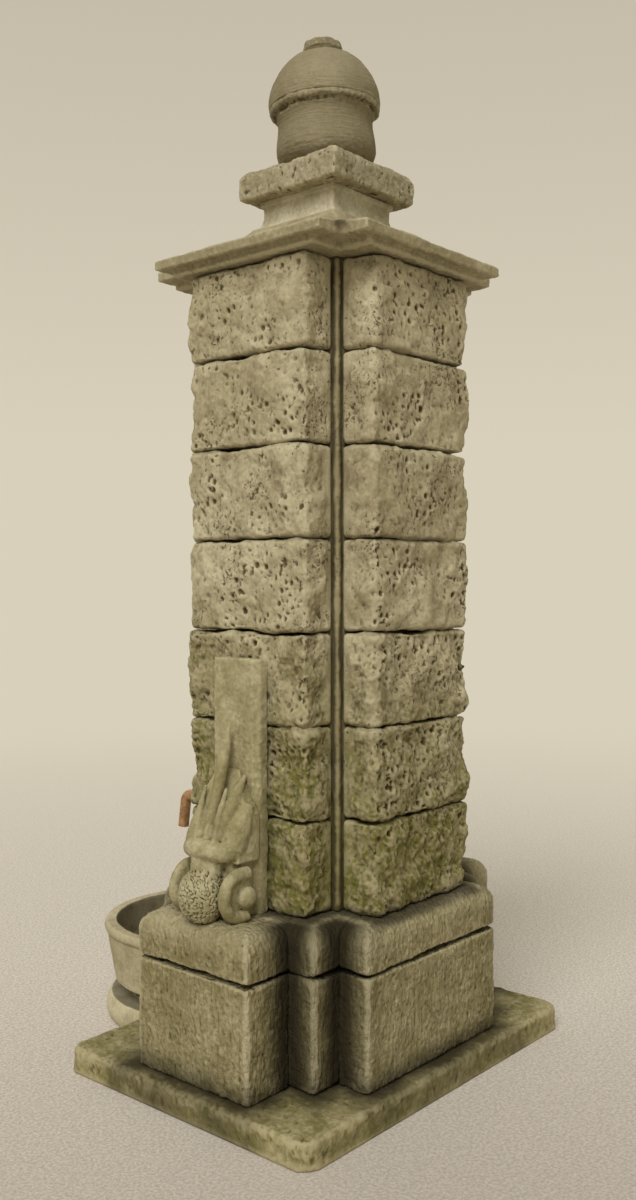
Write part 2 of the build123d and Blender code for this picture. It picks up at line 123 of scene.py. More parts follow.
def own_copy(piece, name):
    """A copy of a piece, with its own mesh."""
    twin = bpy.data.objects.new(name, piece.data.copy())
    bpy.context.scene.collection.objects.link(twin)
    return twin


def blank_from(node):
    """A merged copy of a CAD node's mesh, to be worked up into a piece."""
    piece = own_copy(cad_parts[node], node + "_stone")
    piece.data.materials.clear()
    take(piece)
    bpy.ops.object.mode_set(mode="EDIT")
    bpy.ops.mesh.select_all(action="SELECT")
    bpy.ops.mesh.remove_doubles(threshold=MERGE_WITHIN)
    bpy.ops.object.mode_set(mode="OBJECT")
    return piece


def points(piece):
    """The piece's points, as an array."""
    found = np.zeros(len(piece.data.vertices) * 3)
    piece.data.vertices.foreach_get("co", found)
    return found.reshape(-1, 3)


def normals(piece):
    """The normals at the piece's points, as an array."""
    found = np.zeros(len(piece.data.vertices) * 3, np.float32)
    piece.data.vertex_normals.foreach_get("vector", found)
    return found.reshape(-1, 3)


def rise(value, start, length):
    """0 up to start, then evenly up to 1 over the length given."""
    return np.clip((value - start) / length, 0, 1)


def waves(where, scale, shift=(0, 0, 0)):
    """A slow pattern's value at each point, about -1 to 1."""
    return np.array([noise.noise(Vector(p) * scale + Vector(shift)) for p in where])


def pick_faces(piece, wanted):
    """Selects the faces whose middle and normal suit, and no others."""
    mesh = piece.data
    middle = np.zeros(len(mesh.polygons) * 3, np.float32)
    normal = np.zeros(len(mesh.polygons) * 3, np.float32)
    mesh.polygons.foreach_get("center", middle)
    mesh.polygons.foreach_get("normal", normal)
    mesh.vertices.foreach_set("select", np.zeros(len(mesh.vertices), bool))
    mesh.edges.foreach_set("select", np.zeros(len(mesh.edges), bool))
    mesh.polygons.foreach_set("select", wanted(middle.reshape(-1, 3), normal.reshape(-1, 3)))


def edit_faces(piece, wanted):
    """Goes into edit mode with the faces that suit selected."""
    take(piece)
    bpy.context.tool_settings.mesh_select_mode = (False, False, True)
    pick_faces(piece, wanted)
    bpy.ops.object.mode_set(mode="EDIT")


def lighten(piece, hidden):
    """Merges the flat faces that other stones hide, so that they cost few triangles."""
    edit_faces(piece, hidden)
    bpy.ops.mesh.dissolve_limited(angle_limit=FLAT_WITHIN)
    bpy.ops.object.mode_set(mode="OBJECT")


def weigh(piece, name, weights):
    """A vertex group with one weight for each point."""
    group = piece.vertex_groups.get(name) or piece.vertex_groups.new(name=name)
    levels = np.round(np.clip(weights, 0, 1) * WEIGHT_STEPS).astype(int)
    for level in np.unique(levels):
        group.add(np.flatnonzero(levels == level).tolist(), level / WEIGHT_STEPS, "REPLACE")


def move_out(piece, weights, distance):
    """Moves points out along their normals, or in where the distance is below 0."""
    weigh(piece, "moved", weights)
    finish_with(piece, "DISPLACE", strength=distance, mid_level=0, vertex_group="moved")
    piece.vertex_groups.clear()


def note(piece, name, values):
    """Stores one number for each point, from 0 to 1, for the material to read."""
    attribute = piece.data.attributes.new(name, "FLOAT", "POINT")
    attribute.data.foreach_set("value", np.clip(values, 0, 1).astype(np.float32))


def note_depth(piece, before, normal, deepest):
    """Stores how far each point was pushed in since before."""
    note(piece, "hollow", np.einsum("ij,ij->i", before - points(piece), normal) / deepest)


def note_ridges(piece):
    """Stores where the surface stands out, above 0.5, or lies back, below it, by smoothing a copy."""
    worn_down = own_copy(piece, "worn_down")
    ease(worn_down, RIDGE_ROUNDS)
    proud = np.einsum("ij,ij->i", points(piece) - points(worn_down), normals(piece))
    bpy.data.objects.remove(worn_down)
    note(piece, "ridge", 0.5 + proud / RIDGE_SPAN)


def stand_for(piece, node, finish):
    """The piece takes its material, stands for its CAD node and rides on the fountain."""
    piece.data.materials.clear()
    piece.data.materials.append(finish)
    take(piece)
    bpy.ops.object.shade_smooth()
    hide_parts(node)
    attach(piece, BODY)


# ---------------------------------------------------------------- shader maths


def srgb(red, green, blue):
    """A colour given as on a screen, 0 to 255, as linear values."""
    values = [c / 255 for c in (red, green, blue)]
    return (*[v / 12.92 if v <= 0.04045 else ((v + 0.055) / 1.055) ** 2.4 for v in values], 1)


def halfway(first, second):
    """The colour halfway between two."""
    return tuple((a + b) / 2 for a, b in zip(first, second))


class Value:
    """A shader socket. Sums written with it add Math nodes."""

    def __init__(self, nodes, socket):
        self.nodes = nodes
        self.socket = socket

    def maths(self, operation, first, second, clamp=False):
        """One Math node."""
        settings = {"operation": operation, "use_clamp": clamp}
        return self.nodes.node("ShaderNodeMath", settings, {0: first, 1: second})

    def __add__(self, other):
        return self.maths("ADD", self, other)

    def __radd__(self, other):
        return self.maths("ADD", other, self)

    def __sub__(self, other):
        return self.maths("SUBTRACT", self, other)

    def __rsub__(self, other):
        return self.maths("SUBTRACT", other, self)

    def __mul__(self, other):
        return self.maths("MULTIPLY", self, other)

    def __rmul__(self, other):
        return self.maths("MULTIPLY", other, self)

    def __pow__(self, other):
        return self.maths("POWER", self, other)

    def clamped(self):
        return self.maths("ADD", self, 0.0, clamp=True)

    def most(self, other):
        return self.maths("MAXIMUM", self, other)

    def least(self, other):
        return self.maths("MINIMUM", self, other)

    def size(self):
        return self.maths("ABSOLUTE", self, 0.0)

    def fraction(self):
        return self.maths("FRACT", self, 0.0)


class Nodes:
    """A node tree, emptied, and the one way that nodes are added to it."""

    def __init__(self, tree):
        self.tree = tree
        self.tree.nodes.clear()

    def node(self, kind, settings=None, inputs=None, output=0):
        """Adds a node. Its settings go first, then the values or links of its sockets."""
        made = self.tree.nodes.new(kind)
        for key, value in (settings or {}).items():
            if key == "stops":
                set_stops(made.color_ramp, value)
            else:
                setattr(made, key, value)
        for key, value in (inputs or {}).items():
            if isinstance(value, Value):
                self.tree.links.new(value.socket, made.inputs[key])
            else:
                made.inputs[key].default_value = value
        return Value(self, made.outputs[output]) if made.outputs else None


def set_stops(color_ramp, stops):
    """Sets a ramp's positions and colours."""
    while len(color_ramp.elements) < len(stops):
        color_ramp.elements.new(0.5)
    for element, (position, colour) in zip(color_ramp.elements, stops):
        element.position = position
        element.color = colour


class Finish(Nodes):
    """A material, with patterns on the piece's own coordinates."""

    def __init__(self, name):
        self.material = bpy.data.materials.new(name)
        self.material.use_nodes = True
        super().__init__(self.material.node_tree)
        self.here = self.node("ShaderNodeTexCoord", output="Object")
        axes = [self.node("ShaderNodeSeparateXYZ", {}, {0: self.here}, axis) for axis in range(3)]
        self.x, self.y, self.z = axes

    def stretched(self, scale, shift=(0, 0, 0)):
        return self.node("ShaderNodeMapping", {}, {0: self.here, 1: shift, 3: scale})

    def noise(self, scale, detail=4.0, roughness=0.55, stretch=(1, 1, 1), shift=(0, 0, 0)):
        inputs = {"Vector": self.stretched(stretch, shift), "Scale": scale}
        inputs |= {"Detail": detail, "Roughness": roughness}
        return self.node("ShaderNodeTexNoise", {}, inputs)

    def uneven(self, scale, detail, shift, amount):
        """A pattern that is above and below 0 by turns, to break a straight edge up."""
        return (self.noise(scale, detail, shift=shift) - 0.5) * amount

    def band(self, value, low, high):
        """0 below low, 1 above high, and smooth between."""
        settings = {"interpolation_type": "SMOOTHSTEP"}
        return self.node("ShaderNodeMapRange", settings, {0: value, 1: low, 2: high, 3: 0.0, 4: 1.0})

    def mix(self, factor, under, over):
        """The colour over laid on the colour under."""
        settings = {"data_type": "RGBA", "clamp_factor": True}
        return self.node("ShaderNodeMix", settings, {0: factor, 6: under, 7: over}, 2)

    def attribute(self, name):
        return self.node("ShaderNodeAttribute", {"attribute_name": name}, {}, "Fac")

    def bump(self, height, distance, strength):
        inputs = {"Height": height, "Distance": distance, "Strength": strength}
        return self.node("ShaderNodeBump", {}, inputs, "Normal")

    def surface(self, shader):
        """Ends the material with this shader."""
        self.node("ShaderNodeOutputMaterial", {}, {"Surface": shader})
        return self.material

    def done(self, colour, roughness, normal, **constants):
        inputs = {"Base Color": colour, "Roughness": roughness, "Normal": normal, **constants}
        return self.surface(self.node("ShaderNodeBsdfPrincipled", {}, inputs, "BSDF"))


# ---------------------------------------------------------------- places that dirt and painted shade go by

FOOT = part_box("base_slab")[1].z  # top of the slab, where the plinth starts
CAP_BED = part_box("plinth_cap_core")[0].z
PILLAR_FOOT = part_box("shaft_core")[0].z
PILLAR_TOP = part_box("shaft_core")[1].z
COURSE = (PILLAR_TOP - PILLAR_FOOT) / COURSES


def half_plan(node):
    """Half of a piece's length and of its width."""
    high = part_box(node)[1]
    return high.x, high.y


CORE_X, CORE_Y = half_plan("plinth_core")
SIDE_X, SIDE_Y = half_plan("plinth_block_right")
END_X, END_Y = half_plan("plinth_block_back")
SHAFT = half_plan("shaft_core")[0]
BLOCK_X, BLOCK_Y = half_plan("shaft_block_1_right")
PANEL_X, PANEL_Y = half_plan("side_panel_right")
CORNICE_NOTCH = 0.372  # where two arms of the cornice meet, from the axis


def from_corner(f, x, y):
    """Distance from the four upright lines at (x, y) and its mirror images."""
    across = f.x.size() - x
    along = f.y.size() - y
    return (across * across + along * along) ** 0.5


def from_box(f, x, y):
    """Distance outwards from an upright box round the axis, along X or Y."""
    return (f.x.size() - x).most(f.y.size() - y)


def least_of(distance, f, *corners):
    """The shortest of the distances from several corners or boxes."""
    found = distance(f, *corners[0])
    for corner in corners[1:]:
        found = found.least(distance(f, *corner))
    return found


def corner_dirt_and_shade(f):
    """Dirt and painted shade in the inner corners of pillar and plinth, along the plinth's foot and on
    its ledge.
    """
    patchy = f.uneven(9.0, 3.0, (3, 3, 9), 0.05)
    shaft = least_of(from_corner, f, (SHAFT, BLOCK_Y), (BLOCK_Y, SHAFT))
    plinth = least_of(from_corner, f, (CORE_X, SIDE_Y), (END_X, CORE_Y))
    above = f.band(f.z, PILLAR_FOOT - 0.01, PILLAR_FOOT + 0.01)
    # painted shade, with dirt: darker in the inner corners, along the foot and on the ledge, where
    # shade falls
    in_shaft = (1 - f.band(shaft + patchy * 0.35, 0.001, 0.016)) * above
    in_plinth = (1 - f.band(plinth + patchy, 0.02, 0.15)) * (1 - above)
    foot = 1 - f.band(f.z + patchy * 1.4, FOOT - 0.01, FOOT + 0.095)
    blocks = least_of(from_box, f, (BLOCK_X, BLOCK_Y), (BLOCK_Y, BLOCK_X))
    by_ledge = 1 - f.band((f.z - PILLAR_FOOT).size(), 0.015, 0.035)
    ledge = (1 - f.band(blocks + patchy, 0.005, 0.075)) * by_ledge
    return in_shaft.most(in_plinth).most(foot * 0.8).most(ledge * 0.85).clamped()


def bed_dirt(f):
    """Dirt in the joints between courses, 1 in the joint."""
    step = ((f.z - PILLAR_FOOT) * (1 / COURSE) + f.uneven(24.0, 2.0, (8, 1, 1), 0.06)).fraction()
    near = step.least(1 - step)
    stretches = f.band(f.noise(4.5, 3.0, shift=(2, 9, 5)), 0.40, 0.56)
    return (1 - f.band(near, 0.004, 0.045)) * (0.2 + stretches * 0.8)


def block_dirt_and_shade(f):
    """Dirt and painted shade in the corners, dirt in the joints, and painted shadow under the cornice
    and beside the panels.
    """
    # painted shadow: darker on the blocks beside the panels
    beside = 1 - f.band(f.y.size() - PANEL_Y + f.uneven(9.0, 3.0, (1, 1, 8), 0.06), 0.0, 0.05)
    beside = beside * f.band(f.x.size(), SHAFT - 0.02, SHAFT) * (1 - f.band(f.z, 1.0, 1.5))
    # painted shadow: darker at the tops of the blocks, under the cornice
    eaves = f.z + f.uneven(9.0, 2.0, (0, 0, 0), 0.1)
    shadow_under_eaves = f.band(eaves, PILLAR_TOP - 0.05, PILLAR_TOP + 0.03)
    return corner_dirt_and_shade(f).most(bed_dirt(f) * 0.75).most(shadow_under_eaves * 0.7).most(beside * 0.8)


def plinth_dirt_and_shade(f):
    """Corner dirt and painted shade, and the dark bed under the cap tier."""
    bed = 1 - f.band((f.z - CAP_BED + f.uneven(20.0, 2.0, (8, 1, 1), 0.012)).size(), 0.002, 0.011)
    return corner_dirt_and_shade(f).most(bed * 0.9)


def slab_contact_shade(f):
    """Painted shade on the slab round the plinth's foot, darker close to the plinth."""
    away = least_of(from_box, f, (SIDE_X, SIDE_Y), (END_X, END_Y), (CORE_X, CORE_Y))
    return 1 - f.band(away + f.uneven(7.0, 3.0, (5, 2, 2), 0.12), -0.01, 0.13)


def cornice_dirt_and_shade(f):
    """Dirt and painted shade in the notches at the cornice's corners."""
    away = from_corner(f, CORNICE_NOTCH, CORNICE_NOTCH) + f.uneven(30.0, 3.0, (1, 7, 2), 0.08)
    return (1 - f.band(away, 0.0, 0.060)) * f.band(f.z, PILLAR_TOP + 0.03, PILLAR_TOP + 0.06) * 0.75


def bowl_dirt(f):
    """Brown water stains on the faces that look in towards the middle of the bowl."""
    low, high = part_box("basin_bowl")
    middle = (0, (low.y + high.y) / 2, high.z)
    away = f.node("ShaderNodeVectorMath", {"operation": "SUBTRACT"}, {0: f.here, 1: middle})
    facing = f.node("ShaderNodeNewGeometry", {}, {}, "Normal")
    product = {"operation": "DOT_PRODUCT"}
    outward = f.node("ShaderNodeVectorMath", product, {0: away, 1: facing}, "Value")
    return f.band(f.uneven(10.0, 3.0, (4, 4, 1), 0.08) - outward, 0.06, 0.16) * 0.8


def plinth_arris(f):
    """The plinth's outer corners, worn pale and painted as highlights."""
    away = least_of(from_corner, f, (SIDE_X, SIDE_Y), (END_X, END_Y), (CORE_X, CORE_Y))
    return 1 - f.band(away + f.uneven(40.0, 3.0, (3, 1, 4), 0.02), 0.008, 0.021)


def panel_arris(f):
    """The panels' upright edges, worn pale and painted as highlights."""
    away = from_corner(f, PANEL_X, PANEL_Y) + f.uneven(40.0, 3.0, (3, 1, 4), 0.008)
    return (1 - f.band(away, 0.007, 0.015)) * f.band(f.z, 0.80, 0.95)


# ---------------------------------------------------------------- materials

STAIN = srgb(128, 115, 84)
PIT_BROWN = srgb(84, 66, 34)
SOIL_AND_SHADE = srgb(46, 40, 22)
# also the colour of the painted shade in corners, dips and creases
MOSS = srgb(106, 103, 48)
DAMP = srgb(120, 110, 62)
# also the colour of the painted highlights on ridges, arrises and the plinth's top
LIME_AND_HIGHLIGHT = srgb(190, 180, 148)
GLOSS = {"Specular IOR Level": 0.22}


class Stone(Finish):
    """Weathered limestone, with the patterns that its colours and its relief share."""

    def __init__(self, name, pits, marks_way):
        super().__init__(name)
        self.cloud = self.noise(3.2, 5.0)
        self.patch = self.noise(11.0, 5.0, 0.6, shift=(4, 1, 7))
        self.dabs = self.noise(62.0, 3.0, 0.6, stretch=(1, 1, 0.8), shift=(3, 8, 2))
        self.marks = self.noise(70.0, 3.0, 0.5, stretch=marks_way, shift=(6, 6, 0))
        self.grain = self.noise(90.0, 5.0, 0.65)
        self.sand = self.noise(380.0, 3.0, 0.6)
        self.ridge = self.attribute("ridge") + (self.grain - 0.5) * 0.12
        gathered = self.noise(5.0, 2.0, shift=(9, 3, 3))
        low = 0.27 + self.band(gathered, 0.40, 0.72) * 0.13
        small = self.noise(88.0, 2.0, 0.5, stretch=(1, 1, 0.85), shift=(2, 5, 1))
        tiny = self.noise(230.0, 2.0, 0.5, stretch=(1, 1, 0.8), shift=(7, 5, 1))
        self.small_pits = self.band(low - small, -0.02, 0.03) * pits
        self.pinholes = self.band(low - tiny, -0.01, 0.03) * pits

    def stained(self, base, pale, stipple, stains, drips):
        """The stone's own colours, with brown stains and runs of lime."""
        colour = self.mix(self.band(self.cloud, 0.35, 0.68), base, pale)
        colour = self.mix((1 - self.band(self.dabs, 0.38, 0.55)) * stipple * 0.8, colour, STAIN)
        colour = self.mix(self.band(self.dabs, 0.52, 0.66) * stipple * 0.7, colour, pale)
        colour = self.mix(self.band(self.patch, 0.42, 0.72) * 0.55, colour, STAIN)
        colour = self.mix(self.band(self.grain, 0.42, 0.72) * 0.4, colour, STAIN)
        colour = self.mix(self.band(self.sand, 0.5, 0.72) * 0.3, colour, pale)
        blotch = self.noise(7.5, 4.0, 0.62, stretch=(1, 1, 0.7), shift=(8, 2, 6))
        colour = self.mix(self.band(blotch, 0.56, 0.70) * stains, colour, PIT_BROWN)
        run = self.noise(15.0, 3.0, 0.5, stretch=(1, 1, 0.05), shift=(1, 2, 3))
        return self.mix(self.band(run, 0.56, 0.70) * drips * 0.6, colour, LIME_AND_HIGHLIGHT)

    def rubbed_and_highlit(self, colour, pale, wear, arris, worn_and_lit_top):
        """Pale where the stone is rubbed, with painted highlights there too: its ridges, its arrises
        and the plinth's upper edge.
        """
        # wear and painted highlight: the ridges paler
        colour = self.mix(self.band(self.ridge, 0.54, 0.74) * wear, colour, halfway(pale, LIME_AND_HIGHLIGHT))
        if arris:
            colour = self.mix(arris(self) * 0.75, colour, LIME_AND_HIGHLIGHT)
        if worn_and_lit_top:
            # wear and painted light: the cap tier paler towards its top
            top = self.band(self.z, CAP_BED + 0.03, PILLAR_FOOT - 0.01)
            colour = self.mix(top * worn_and_lit_top, colour, LIME_AND_HIGHLIGHT)
        return colour

    def mossy(self, colour, moss, moss_top):
        """Damp and moss, which thin out towards moss_top and keep off the ridges."""
        low = 1 - self.band(self.z + (self.cloud - 0.5) * 0.9, moss_top * 0.4, moss_top)
        growth = self.noise(34.0, 4.0, 0.65, shift=(5, 5, 1))
        green = low * (0.3 + self.band(self.patch, 0.34, 0.6) * 0.7)
        green = green * (0.35 + self.band(growth, 0.42, 0.58) * 0.65)
        green = green * (1 - self.band(self.ridge, 0.5, 0.68) * 0.75) * (moss * 1.5)
        colour = self.mix(low * (moss * 0.55), colour, DAMP)
        return self.mix(green.clamped(), colour, MOSS)

    def soiled_and_shaded(self, colour, soil_and_shade, dip_shade_amount, dirt_and_shade):
        """Soil and painted shade where the dirt mask says, painted shade in every dip and crease, and
        brown pits.
        """
        if dirt_and_shade:
            colour = self.mix(dirt_and_shade(self) * soil_and_shade, colour, SOIL_AND_SHADE)
        # painted shade: darker in creases and wherever the surface lies back from its ridges
        crease = self.node("ShaderNodeNewGeometry", {}, {}, "Pointiness")
        painted_crease_shade = (1 - self.band(crease, 0.42, 0.49)) * 0.5
        painted_dip_shade = (1 - self.band(self.ridge, 0.28, 0.47)).most(painted_crease_shade) * soil_and_shade
        colour = self.mix(painted_dip_shade * dip_shade_amount, colour, SOIL_AND_SHADE)
        hollow = self.band(self.attribute("hollow"), 0.25, 0.9)
        dark = (hollow * 0.72).most(self.small_pits * 0.7).most(self.pinholes * 0.45)
        return self.mix(dark, colour, PIT_BROWN)

    def relief(self, tooled, stipple, depth):
        """The fine relief: grain, tool marks, dabs and small pits."""
        height = self.grain * 0.4 + self.sand * 0.15 + self.patch * 0.5
        height = height + self.marks * tooled + self.dabs * stipple
        height = height - self.small_pits * 0.9 - self.pinholes * 0.4
        return self.bump(height, depth, 0.9)


def stone(name, base, pale, pits=0.0, soil_and_shade=1.0, drips=0.0, tooled=0.3, stipple=0.0, stains=0.0,
          moss=0.0, moss_top=1.0, wear=0.75, worn_and_lit_top=0.0, dip_shade_amount=0.85, relief=0.007,
          marks_way=(1, 1, 0.22), arris=None, dirt_and_shade=None):
    """A stone finish. base and pale are its colours, moss_top is a height, relief is a depth, arris and
    dirt say where the stone is pale or soiled and painted darker with shade, and the rest are amounts,
    among them the painted shade in dips and creases."""
    f = Stone(name, pits, marks_way)
    colour = f.stained(base, pale, stipple, stains, drips)
    colour = f.rubbed_and_highlit(colour, pale, wear, arris, worn_and_lit_top)
    if moss:
        colour = f.mossy(colour, moss, moss_top)
    colour = f.soiled_and_shaded(colour, soil_and_shade, dip_shade_amount, dirt_and_shade)
    return f.done(colour, 0.84 + f.grain * 0.12, f.relief(tooled, stipple, relief), **GLOSS)


def metal(name, bright, dull, spots, rough, metallic):
    """Aged metal, bright where it is handled and dull with spots elsewhere."""
    f = Finish(name)
    tone = f.noise(40.0, 5.0, 0.6)
    fleck = f.noise(240.0, 3.0, 0.6)
    colour = f.mix(f.band(tone, 0.4, 0.62), bright, dull)
    colour = f.mix(f.band(fleck, 0.6, 0.72) * 0.6, colour, spots)
    normal = f.bump(tone * 0.7 + fleck * 0.3, 0.0006, 0.6)
    return f.done(colour, rough + tone * 0.25, normal, Metallic=metallic)


block_stone = stone(
    "block_stone", srgb(168, 157, 124), srgb(198, 188, 156), pits=1.0, soil_and_shade=0.62, drips=0.7,
    tooled=0.2, stipple=0.25, stains=0.4, moss=0.85, moss_top=1.75, wear=0.5, dirt_and_shade=block_dirt_and_shade,
)
core_stone = stone(
    "core_stone", srgb(136, 124, 88), srgb(166, 154, 118), pits=0.4, soil_and_shade=0.85, drips=0.3,
    stipple=0.3, moss=0.8, moss_top=1.75, wear=0.15, dirt_and_shade=block_dirt_and_shade,
)
dressed_stone = stone(
    "dressed_stone", srgb(152, 142, 110), srgb(176, 166, 134), pits=0.1, soil_and_shade=0.9, drips=0.2,
    tooled=0.6, stipple=0.3, dip_shade_amount=0.3, dirt_and_shade=cornice_dirt_and_shade,
)
# painted light: the neck is lighter than the dressed stone, to make up for the shade it stands in under
# the cap slab
neck_stone_lit = stone(
    "neck_stone_lit", srgb(184, 175, 146), srgb(206, 198, 172), soil_and_shade=0.3, drips=0.4,
    tooled=0.9, stipple=0.1,
)
turned_stone = stone(
    "turned_stone", srgb(120, 111, 84), srgb(150, 141, 114), pits=0.05, soil_and_shade=0.8,
    tooled=0.7, stipple=0.25, marks_way=(0.22, 0.22, 2.0),
)
cap_stone = stone(
    "cap_stone", srgb(156, 147, 118), srgb(182, 173, 146), pits=0.25, soil_and_shade=0.5,
    tooled=0.2, stipple=0.5,
)
plinth_stone = stone(
    "plinth_stone", srgb(150, 139, 100), srgb(188, 177, 140), drips=0.25, tooled=1.2, stipple=0.7,
    stains=0.12, moss=0.28, worn_and_lit_top=0.35, relief=0.014, arris=plinth_arris, dirt_and_shade=plinth_dirt_and_shade,
)
slab_stone = stone(
    "slab_stone", srgb(156, 146, 106), srgb(192, 181, 142), soil_and_shade=0.95, stipple=0.5,
    stains=0.45, moss=0.5, moss_top=3.0, dip_shade_amount=0.35, dirt_and_shade=slab_contact_shade,
)
basin_stone = stone(
    "basin_stone", srgb(176, 165, 132), srgb(202, 192, 160), pits=0.1, soil_and_shade=0.75, drips=0.2,
    moss=0.06, moss_top=0.5, dirt_and_shade=bowl_dirt,
)
carved_stone = stone(
    "carved_stone", srgb(168, 158, 120), srgb(200, 191, 156), drips=0.2, stipple=0.35,
    moss=0.32, moss_top=1.9, dip_shade_amount=1.0, arris=panel_arris,
)
copper = metal("copper", srgb(186, 146, 102), srgb(152, 114, 76), srgb(104, 82, 54), 0.42, 0.45)
bronze = metal("bronze", srgb(176, 138, 74), srgb(122, 96, 56), srgb(76, 84, 60), 0.35, 0.9)
steel = metal("steel", srgb(178, 178, 174), srgb(140, 140, 136), srgb(100, 96, 88), 0.28, 1.0)


# ---------------------------------------------------------------- textures that shape the stone


def texture(name, kind, size, stops=None, **settings):
    """A texture for displacing a surface. Stops make its value a ramp, from position to height."""
    made = bpy.data.textures.new(name, kind)
    made.noise_scale = size
    for key, value in settings.items():
        setattr(made, key, value)
    if stops:
        made.use_color_ramp = True
        set_stops(made.color_ramp, [(place, (height, height, height, 1)) for place, height in stops])
    return made


swell = texture("swell", "CLOUDS", 0.15, noise_depth=2)
lumps = texture("lumps", "CLOUDS", 0.052, noise_depth=2)
fine = texture("fine", "CLOUDS", 0.013, noise_depth=2)
pitting = texture("pitting", "CLOUDS", 0.019, ((0.24, 0.0), (0.35, 1.0)), noise_depth=2)
holes = texture("holes", "VORONOI", 0.034, ((0.14, 0.0), (0.32, 1.0)))
scratches = texture("scratches", "CLOUDS", 0.016, ((0.42, 1.0), (0.48, 0.0), (0.52, 0.0), (0.58, 1.0)))

grain_place = bpy.data.objects.new("grain_place", None)  # moves and stretches the textures
bpy.context.scene.collection.objects.link(grain_place)


def push(piece, pattern, strength, group, middle=0.5, stretch=1.0, shift=(0, 0, 0)):
    """Displaces the surface along its normals by a texture, stretched upwards."""
    grain_place.location = shift
    grain_place.scale = (1, 1, stretch)
    bpy.context.view_layer.update()
    finish_with(
        piece,
        "DISPLACE",
        texture=pattern,
        texture_coords="OBJECT",
        texture_coords_object=grain_place,
        strength=strength,
        mid_level=middle,
        vertex_group=group,
    )


def roughen(piece, weights, face, swell_by, lump_by, fine_by,
            pit_by=0, hole_by=0, stretch=1.5, shift=(0, 0, 0)):
    """Wears a stone's surface: slow swelling, lumps, then pits, whose depth is kept for the material.
    weights say where the surface is worn at all, and face where it is pitted."""
    weigh(piece, "worn", weights)
    weigh(piece, "face", weights * face)
    push(piece, swell, swell_by, "worn", shift=shift)
    push(piece, lumps, lump_by, "worn", shift=shift)
    before, normal = points(piece), normals(piece)
    if pit_by:
        push(piece, pitting, pit_by, "face", 1.0, stretch, shift)
    if hole_by:
        push(piece, holes, hole_by, "face", 1.0, stretch, shift)
    note_depth(piece, before, normal, max(pit_by, DEEP))
    push(piece, fine, fine_by, "worn", shift=shift)
    piece.vertex_groups.clear()
    note_ridges(piece)


# ---------------------------------------------------------------- pillar

BLOCK_ARRIS = 0.016
BLOCK_JOINT = 0.0030  # each bed is cut back by this, which leaves a dark joint
BLOCK_VOXEL = 0.0052
BLOCK_WEAR = {"swell_by": 0.050, "lump_by": 0.017, "pit_by": 0.009, "hole_by": 0.013, "fine_by": 0.0035}
RUGGED_COURSES = 3  # the lowest courses are the most weathered
RUGGED = 1.5
SEEN_DEPTH = 0.045  # how far in from its face a block's bed is kept whole
SEEN_END = 0.035
CORE_VOXEL = 0.0105
SPOUT_CLEARANCE = 0.003


def block_blank():
    """One facing block of the right side's lowest course, its edges rounded, ready to be roughened."""
    low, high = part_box("shaft_block_1_right")
    size = high - low
    size.z -= 2 * BLOCK_JOINT
    blank = new_box((low + high) / 2, size)
    bpy.ops.object.mode_set(mode="EDIT")
    bpy.ops.mesh.select_all(action="SELECT")
    bpy.ops.mesh.bevel(offset=BLOCK_ARRIS, segments=4, profile=0.5)
    bpy.ops.object.mode_set(mode="OBJECT")
    remesh(blank, BLOCK_VOXEL)

    def hidden(middle, normal):
        along = np.abs(middle[:, 1])
        back = (normal[:, 0] < -0.99) & (along < high.y - 0.03)
        inside = (middle[:, 0] < high.x - SEEN_DEPTH) & (along < high.y - SEEN_END)
        return back | ((np.abs(normal[:, 2]) > 0.99) & inside)

    lighten(blank, hidden)
    return blank


def gathering(where, shift):
    """From 0 to 1, where pits gather, in patches."""
    return np.clip(0.46 + 2.2 * waves(where, 5, shift), 0.05, 1)


def worn_block(blank, course, side, number):
    """Copies the blank to its course and side and roughens it in a way of its own."""
    node = f"shaft_block_{course}_{side}"
    piece = own_copy(blank, node + "_stone")
    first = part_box("shaft_block_1_right")[0]
    turn = radians(SIDES[side])
    piece.rotation_euler.z = turn
    piece.location.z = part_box(node)[0].z - first.z
    settle(piece)
    outward = np.array(Vector((cos(turn), sin(turn), 0)))
    where, normal = points(piece), normals(piece)
    worn = rise(where @ outward - first.x, 0.02, 0.03)
    worn = worn * (1 - 0.45 * np.abs(normal[:, 2]))
    pitted = 0.25 + 0.75 * rise(normal @ outward, 0.3, 0.5)
    shift = (number * 1.37, number * 0.61, number * 2.11)
    wear = dict(BLOCK_WEAR)
    if course <= RUGGED_COURSES:
        wear.update({name: RUGGED * depth for name, depth in wear.items() if name != "swell_by"})
    roughen(piece, worn, pitted * gathering(where, shift), stretch=1.15, shift=shift, **wear)
    if node == "shaft_block_1_front":
        drill_for_spout(piece)
    stand_for(piece, node, block_stone)


def drill_for_spout(piece):
    """Cuts the hole that the spout comes through."""
    low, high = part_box("spout_pipe")
    radius = (high.x - low.x) / 2
    length = 0.8
    middle = (0, low.y + length / 2, high.z - radius)
    drill = new_roll(middle, radius + SPOUT_CLEARANCE, length, 32)
    finish_with(piece, "BOOLEAN", object=drill, operation="DIFFERENCE", solver="EXACT")
    bpy.data.objects.remove(drill)


def core():
    """The pillar's core. Its upright edges show in the corners, proud and pointed with old mortar."""
    piece = blank_from("shaft_core")
    remesh(piece, CORE_VOXEL)
    where = points(piece)
    corner = np.minimum(np.abs(where[:, 0]), np.abs(where[:, 1]))
    edges = rise(corner - BLOCK_Y, 0.002, 0.004)
    inside = rise(where[:, 2], PILLAR_FOOT, 0.02) * np.clip((PILLAR_TOP - where[:, 2]) / 0.02, 0, 1)
    roughen(piece, edges * inside, edges, swell_by=0.016, lump_by=0.012, fine_by=0.008)
    stand_for(piece, "shaft_core", core_stone)


